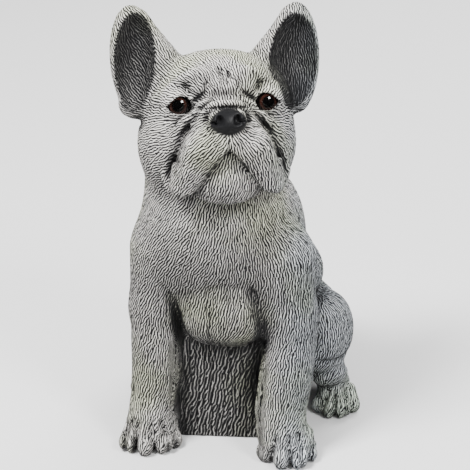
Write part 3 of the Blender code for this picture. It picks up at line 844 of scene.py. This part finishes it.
# %% Thin it out and place it
STATUE_TRIANGLES = 188000
HIDDEN_WEIGHT = 1.0
SHOWN_WEIGHT = 0.5
THINNING_FACTOR = 2e-6
BACK_FACING = 0.2
shown = np.flatnonzero(out[:, 1] < BACK_FACING)
weights = fine.vertex_groups.new(name="thinning")
weights.add(range(len(points)), HIDDEN_WEIGHT, "REPLACE")
weights.add(shown.tolist(), SHOWN_WEIGHT, "REPLACE")
thin = fine.modifiers.new("Thin out", "DECIMATE")
thin.ratio = STATUE_TRIANGLES / (2 * len(faces))
thin.vertex_group = weights.name
thin.vertex_group_factor = THINNING_FACTOR
graph = bpy.context.evaluated_depsgraph_get()
statue_mesh = bpy.data.meshes.new_from_object(fine.evaluated_get(graph))
bpy.data.objects.remove(fine)
middle = (statue_low + statue_high) / 2
low, high = (Vector(corner) * UNIT for corner in (carved.min(0).tolist(), carved.max(0).tolist()))
drawn_middle = (low + high) / 2
moved = Vector((middle.x - drawn_middle.x, middle.y - drawn_middle.y, 0))
statue_mesh.transform(Matrix.Translation(moved))
statue_mesh.name = "statue_cast"
statue_mesh.shade_smooth()
statue = new_object("statue_cast", statue_mesh)
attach(statue, "root")
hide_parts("statue")
statue_mesh.calc_loop_triangles()
print(f"{len(statue_mesh.loop_triangles)} triangles left, {time.time() - started:.0f} s")

# %% [markdown]
# ## Fine strokes
#
# The texture used here is a sum of short wave packets, like the carving above, and it takes the direction
# of its waves as a vector. Fed with the direction across the fur, it draws strokes that follow the coat.

# %% A node group for strokes
STROKES_PER_METRE = 182.0
WAVES_PER_PACKET = 2.6
ANISOTROPY = 0.85
CRUMBS_PER_METRE = 900.0
VALUE_SHARE = 0.45
CRUMB_SHARE = 0.2


def node(tree, kind, x, y, **values):
    """A node at a place, with inputs set by name and settings set by attribute."""
    made = tree.nodes.new(kind)
    made.location = (x, y)
    for name, value in values.items():
        if name in made.inputs:
            made.inputs[name].default_value = value
        else:
            setattr(made, name, value)
    return made


def stroke_group():
    """Height, 0 in a groove to 1 on a ridge: 0.5 + 0.5 cos(2 pi phase), broken up by value and crumbs."""
    tree = bpy.data.node_groups.new("Fine strokes", "ShaderNodeTree")
    link = tree.links.new
    tree.interface.new_socket("Across", in_out="INPUT", socket_type="NodeSocketVector")
    per_metre = tree.interface.new_socket("Per metre", in_out="INPUT", socket_type="NodeSocketFloat")
    per_metre.default_value = STROKES_PER_METRE
    tree.interface.new_socket("Height", in_out="OUTPUT", socket_type="NodeSocketFloat")
    enter = node(tree, "NodeGroupInput", -900, 0)
    leave = node(tree, "NodeGroupOutput", 500, 0)
    place = node(tree, "ShaderNodeTexCoord", -900, 300)
    packets = node(tree, "ShaderNodeTexGabor", -500, 100, gabor_type="3D")
    packets.inputs["Frequency"].default_value = WAVES_PER_PACKET
    packets.inputs["Anisotropy"].default_value = ANISOTROPY
    way = next(s for s in packets.inputs if s.identifier == "Orientation 3D")
    crumbs = node(tree, "ShaderNodeTexNoise", -500, -300, Scale=CRUMBS_PER_METRE, Detail=3.0)
    angle = node(tree, "ShaderNodeMath", -300, 300, operation="MULTIPLY")
    angle.inputs[1].default_value = 2 * math.pi
    wave = node(tree, "ShaderNodeMath", -150, 300, operation="COSINE")
    ridge = node(tree, "ShaderNodeMath", 0, 300, operation="MULTIPLY_ADD")
    ridge.inputs[1].default_value = 0.5
    ridge.inputs[2].default_value = 0.5
    broken = node(tree, "ShaderNodeMix", 100, 100)
    broken.inputs["Factor"].default_value = VALUE_SHARE
    mixed = node(tree, "ShaderNodeMix", 250, 0)
    mixed.inputs["Factor"].default_value = CRUMB_SHARE
    link(place.outputs["Object"], packets.inputs["Vector"])
    link(place.outputs["Object"], crumbs.inputs["Vector"])
    link(enter.outputs["Per metre"], packets.inputs["Scale"])
    link(enter.outputs["Across"], way)
    link(packets.outputs["Phase"], angle.inputs[0])
    link(angle.outputs[0], wave.inputs[0])
    link(wave.outputs[0], ridge.inputs[0])
    link(ridge.outputs[0], broken.inputs["A"])
    link(packets.outputs["Value"], broken.inputs["B"])
    link(broken.outputs["Result"], mixed.inputs["A"])
    link(crumbs.outputs["Fac"], mixed.inputs["B"])
    link(mixed.outputs["Result"], leave.inputs["Height"])
    return tree


strokes_of_fur = stroke_group()
print(strokes_of_fur.name, "has", len(strokes_of_fur.nodes), "nodes")

# %% A node group for algae and a painted tint of light by side
ALGAE = 0.9
PATCHES_PER_METRE = 15.0
PATCH_RANGE = (0.48, 0.66)
ALGAE_TINT = (0.90, 0.95, 0.76, 1)
# Painted light and shade: the lit side is tinted warm and the shaded side bluer.
LIT_SIDE_TINT = (1.0, 0.965, 0.92, 1)
SHADED_SIDE_TINT = (0.90, 0.95, 1.0, 1)


def algae_and_side_light_group():
    """Algae and painted side light: color * (warm tint on the lit side to a bluer one on the shaded side) *
    (1 to a green tint, in broad patches of algae).
    """
    tree = bpy.data.node_groups.new("Algae and side light", "ShaderNodeTree")
    link = tree.links.new
    tree.interface.new_socket("Color", in_out="INPUT", socket_type="NodeSocketColor")
    for name, value in (("Shaded side", 0.0), ("Algae", ALGAE)):
        share = tree.interface.new_socket(name, in_out="INPUT", socket_type="NodeSocketFloat")
        share.default_value = value
    tree.interface.new_socket("Color", in_out="OUTPUT", socket_type="NodeSocketColor")
    enter = node(tree, "NodeGroupInput", -900, 0)
    leave = node(tree, "NodeGroupOutput", 500, 0)
    place = node(tree, "ShaderNodeTexCoord", -900, 300)
    patches = node(tree, "ShaderNodeTexNoise", -600, 300, Scale=PATCHES_PER_METRE, Detail=2.0)
    range_of = node(tree, "ShaderNodeMapRange", -300, 300)
    range_of.inputs["From Min"].default_value, range_of.inputs["From Max"].default_value = PATCH_RANGE
    tinted = node(tree, "ShaderNodeMix", 200, 0, data_type="RGBA", blend_type="MULTIPLY")
    tinted.inputs[7].default_value = ALGAE_TINT
    tint = node(tree, "ShaderNodeMix", -600, -200, data_type="RGBA")
    tint.inputs[6].default_value = LIT_SIDE_TINT
    tint.inputs[7].default_value = SHADED_SIDE_TINT
    sided = node(tree, "ShaderNodeMix", -200, -100, data_type="RGBA", blend_type="MULTIPLY")
    sided.inputs["Factor"].default_value = 1.0
    link(place.outputs["Object"], patches.inputs["Vector"])
    link(patches.outputs["Fac"], range_of.inputs["Value"])
    link(enter.outputs["Algae"], range_of.inputs["To Max"])
    link(range_of.outputs["Result"], tinted.inputs["Factor"])
    link(enter.outputs["Shaded side"], tint.inputs["Factor"])
    link(enter.outputs["Color"], sided.inputs[6])
    link(tint.outputs[2], sided.inputs[7])
    link(sided.outputs[2], tinted.inputs[6])
    link(tinted.outputs[2], leave.inputs["Color"])
    return tree


algae_and_side_light = algae_and_side_light_group()
print(algae_and_side_light.name, "has", len(algae_and_side_light.nodes), "nodes")

# %% Materials and colour ramps
def new_material(name):
    """A material, its node tree and its shader."""
    made = bpy.data.materials.new(name)
    made.use_nodes = True
    return made, made.node_tree, made.node_tree.nodes["Principled BSDF"]


def ramp(tree, x, y, stops):
    """A colour ramp from a list of places and greys or colours."""
    made = node(tree, "ShaderNodeValToRGB", x, y)
    band = made.color_ramp
    while len(band.elements) < len(stops):
        band.elements.new(0.5)
    for element, (at, colour) in zip(band.elements, stops):
        element.position = at
        element.color = (*colour, 1)
    return made


print("materials so far:", len(bpy.data.materials))

# %% Stone
# The darker stops are faintly blue, a painted bluish tint of shade.
STONE_TONES = [(0.22, (0.006, 0.006, 0.007)), (0.38, (0.020, 0.021, 0.023)), (0.50, (0.11, 0.11, 0.112)),
               (0.62, (0.38, 0.38, 0.38)), (0.76, (0.93, 0.93, 0.92))]
# Off the tone: a dark wash in grooves, painted shade in creases, ear cups and low down, painted light on top
# faces, a darker block.
DARKER = {"groove": 0.10, "hollow": 0.27, "bark": 0.12, "cup_shade": 0.22, "up": -0.10, "low_shade": 0.06}
BARK_PER_METRE = 140.0
NOSE_PAINT = (0.012, 0.012, 0.013, 1)
STONE_ROUGHNESS = 0.85
PAINT_ROUGHNESS = 0.5
BUMP_DEPTH = 0.0008
BUMP_STRENGTH = 0.8


def cast_stone():
    """Grey cast stone: pale worn ridges, a dark wash in the grooves, painted shade in creases, ear cups and
    low on the body, painted light on upward faces, and paint on the nose.
    """
    made, tree, shader = new_material("cast_stone")
    link = tree.links.new
    names = {}
    for i, name in enumerate(("across", *masks)):
        names[name] = node(tree, "ShaderNodeAttribute", -1600, 600 - 180 * i, attribute_name=name)
    fine = node(tree, "ShaderNodeGroup", -1300, 500)
    fine.node_tree = strokes_of_fur
    link(names["across"].outputs["Vector"], fine.inputs["Across"])
    coarser = node(tree, "ShaderNodeMapRange", -1450, 700)
    coarser.inputs["To Min"].default_value = STROKES_PER_METRE
    coarser.inputs["To Max"].default_value = BARK_PER_METRE
    link(names["bark"].outputs["Fac"], coarser.inputs["Value"])
    link(coarser.outputs["Result"], fine.inputs["Per metre"])

    def math_node(operation, a, b, x, y):
        """A Math node of two numbers or sockets."""
        made = node(tree, "ShaderNodeMath", x, y, operation=operation)
        for socket, value in zip(made.inputs, (a, b)):
            if isinstance(value, (int, float)):
                socket.default_value = value
            else:
                link(value, socket)
        return made.outputs[0]

    height = fine.outputs["Height"]
    tone = height
    for i, (name, share) in enumerate(DARKER.items()):
        step = math_node("MULTIPLY", names[name].outputs["Fac"], share, -1300, 300 - 160 * i)
        tone = math_node("SUBTRACT", tone, step, -1100 + 60 * i, 300 - 160 * i)
    stone = ramp(tree, -700, 300, STONE_TONES)
    link(tone, stone.inputs["Fac"])
    paint = node(tree, "ShaderNodeMix", -300, 300, data_type="RGBA")
    paint.inputs[7].default_value = NOSE_PAINT
    link(names["paint"].outputs["Fac"], paint.inputs["Factor"])
    algae_and_side_lit = node(tree, "ShaderNodeGroup", -500, 500)
    algae_and_side_lit.node_tree = algae_and_side_light
    link(stone.outputs["Color"], algae_and_side_lit.inputs["Color"])
    link(names["shaded_side"].outputs["Fac"], algae_and_side_lit.inputs["Shaded side"])
    link(algae_and_side_lit.outputs["Color"], paint.inputs[6])
    link(paint.outputs[2], shader.inputs["Base Color"])
    gloss = node(tree, "ShaderNodeMapRange", -300, 60)
    gloss.inputs["To Min"].default_value = STONE_ROUGHNESS
    gloss.inputs["To Max"].default_value = PAINT_ROUGHNESS
    link(names["paint"].outputs["Fac"], gloss.inputs["Value"])
    link(gloss.outputs["Result"], shader.inputs["Roughness"])
    soft = math_node("MULTIPLY", height, names["fur"].outputs["Fac"], -700, -100)
    bump = node(tree, "ShaderNodeBump", -300, -100)
    bump.inputs["Distance"].default_value = BUMP_DEPTH
    bump.inputs["Strength"].default_value = BUMP_STRENGTH
    link(soft, bump.inputs["Height"])
    link(bump.outputs["Normal"], shader.inputs["Normal"])
    return made


statue_mesh.materials.clear()
statue_mesh.materials.append(cast_stone())
print("the stone's material has", len(statue_mesh.materials[0].node_tree.nodes), "nodes")

# %% [markdown]
# ## Glass eyes
#
# Each eye is a glass ball with a brown iris and a black pupil, so dark that it reads nearly black. The ball
# is turned to look out of its socket. A clear coat gives it its wet shine.

# %% A ball that looks somewhere
RINGS = 48
TURNS = 64


def eye_mesh(name, centre, radius, look):
    """A ball whose pole points along `look`: radius (sin a cos b, sin a sin b, cos a), turned."""
    shape = bpy.data.meshes.new(name)
    polar = np.linspace(0, math.pi, RINGS + 1)[1:-1]
    around = np.linspace(0, 2 * math.pi, TURNS, endpoint=False)
    a, b = np.meshgrid(polar, around, indexing="ij")
    balls = np.stack([np.sin(a) * np.cos(b), np.sin(a) * np.sin(b), np.cos(a)], -1).reshape(-1, 3)
    balls = np.vstack([balls, [[0, 0, 1], [0, 0, -1]]]) * radius
    i, j = np.meshgrid(np.arange(RINGS - 2), np.arange(TURNS), indexing="ij")
    here, beside = i * TURNS + j, i * TURNS + (j + 1) % TURNS
    quads = np.stack([here, here + TURNS, beside + TURNS, beside], -1).reshape(-1, 4).tolist()
    last = (RINGS - 2) * TURNS
    top = [(len(balls) - 2, k, (k + 1) % TURNS) for k in range(TURNS)]
    bottom = [(len(balls) - 1, last + (k + 1) % TURNS, last + k) for k in range(TURNS)]
    turn = Vector(look).to_track_quat("Z", "Y").to_matrix()
    place = balls @ np.array(turn).T + np.array(centre)
    shape.from_pydata(place.tolist(), [], quads + top + bottom)
    attribute(shape, "forward", balls[:, 2] / radius, "FLOAT")
    shape.shade_smooth()
    return shape


print(f"an eye is {EYE_RADIUS * UNIT * 2000:.1f} mm across, drawn with {(RINGS - 1) * TURNS + 2} points")

# %% Brown glass, and an eye in each socket
GLASS_ROUGHNESS = 0.06
COAT_ROUGHNESS = 0.03
EYE_TONES = [(0.0, (0.006, 0.005, 0.005)), (0.76, (0.006, 0.004, 0.004)), (0.82, (0.036, 0.013, 0.009)),
             (0.88, (0.020, 0.008, 0.006)), (0.91, (0.002, 0.002, 0.002))]
LOOK_OUT = 0.12
LOOK_DOWN = 0.05


def brown_glass():
    """A black pupil, a brown iris with a dark rim, and near-black glass round it."""
    made, tree, shader = new_material("brown_glass")
    shader.inputs["Roughness"].default_value = GLASS_ROUGHNESS
    shader.inputs["Coat Weight"].default_value = 1.0
    shader.inputs["Coat Roughness"].default_value = COAT_ROUGHNESS
    forward = node(tree, "ShaderNodeAttribute", -700, 200, attribute_name="forward")
    iris = ramp(tree, -400, 200, EYE_TONES)
    tree.links.new(forward.outputs["Fac"], iris.inputs["Fac"])
    tree.links.new(iris.outputs["Color"], shader.inputs["Base Color"])
    return made


glass = brown_glass()
for side, name in ((1, "eye_left"), (-1, "eye_right")):
    corners = [Vector(c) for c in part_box(name)]
    centre = (corners[0] + corners[1]) / 2
    look = Vector((HEAD_AXES @ np.array([LOOK_OUT * side, -1.0, -LOOK_DOWN])).tolist())
    shape = eye_mesh(f"{name}_glass", centre, EYE_RADIUS * UNIT, look)
    shape.materials.append(glass)
    eye = new_object(f"{name}_glass", shape)
    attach(eye, "root")
    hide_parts(name)
    print(eye.name, "at", [round(v, 4) for v in centre])

# %% [markdown]
# ## Floor, light and camera
#
# The photo looks a little down on the dog and a little from its left. Its background is plain white, so the
# floor is pale and the world is even. The key light stands high on the left of the picture and makes the
# strokes stand out, and another light from behind draws the edges. Both are kept out of reflections. The
# fill, low on the right, is the one light that the eyes mirror: it makes their bright points.

# %% Floor
FLOOR_REACH = 6.0
FLOOR_GREY = (0.95, 0.95, 0.95, 1)
FLOOR_ROUGHNESS = 0.8
plain, _, shader = new_material("floor")
shader.inputs["Base Color"].default_value = FLOOR_GREY
shader.inputs["Roughness"].default_value = FLOOR_ROUGHNESS
floor_mesh = bpy.data.meshes.new("floor")
corners = [(FLOOR_REACH * a, FLOOR_REACH * b, 0) for a, b in ((-1, -1), (1, -1), (1, 1), (-1, 1))]
floor_mesh.from_pydata(corners, [], [(0, 1, 2, 3)])
floor_mesh.materials.append(plain)
floor = new_object("floor", floor_mesh)
floor.visible_glossy = False
print(f"the floor is {2 * FLOOR_REACH:.0f} m across")

# %% Lights
LIT = (0, 0, 0.2)
SOFTBOXES = {
    "key": ((-0.8, -0.9, 2.0), 0.6, 88),
    "back": ((0.6, 1.5, 1.6), 1.0, 32),
    "fill": ((0.946, -0.824, 1.36), 0.42, 18),
}
MIRRORED = "fill"
WORLD_STRENGTH = 0.75


def softbox(name, place, aim, size, power):
    """A square area light at a place, turned to face a point."""
    lamp = bpy.data.lights.new(name, "AREA")
    lamp.size = size
    lamp.energy = power
    made = new_object(name, lamp)
    made.location = place
    made.rotation_euler = (Vector(place) - Vector(aim)).to_track_quat("Z", "Y").to_euler()
    return made


for name, (place, size, power) in SOFTBOXES.items():
    softbox(name, place, LIT, size, power).visible_glossy = name == MIRRORED
world = bpy.data.worlds.new("studio")
world.use_nodes = True
world.node_tree.nodes["Background"].inputs["Color"].default_value = (1, 1, 1, 1)
world.node_tree.nodes["Background"].inputs["Strength"].default_value = WORLD_STRENGTH
bpy.context.scene.world = world
world.cycles_visibility.glossy = False
print("lights:", ", ".join(SOFTBOXES), "and an even world")

# %% Camera at the photo's angle
AZIMUTH = 10.5
ELEVATION = 24.0
DISTANCE = 1.618
LENS = 141.0
AIM = (0.002, -0.020, 0.178)
aimed = Vector(AIM) + moved
a, e = math.radians(AZIMUTH), math.radians(ELEVATION)
back = Vector((math.sin(a) * math.cos(e), -math.cos(a) * math.cos(e), math.sin(e)))
camera = new_object("camera", bpy.data.cameras.new("camera"))
camera.data.lens = LENS
camera.location = aimed + back * DISTANCE
camera.rotation_euler = back.to_track_quat("Z", "Y").to_euler()
bpy.context.scene.camera = camera
print("the camera stands at", [round(v, 3) for v in camera.location])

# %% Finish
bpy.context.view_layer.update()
print(f"made in {time.time() - started:.0f} s")
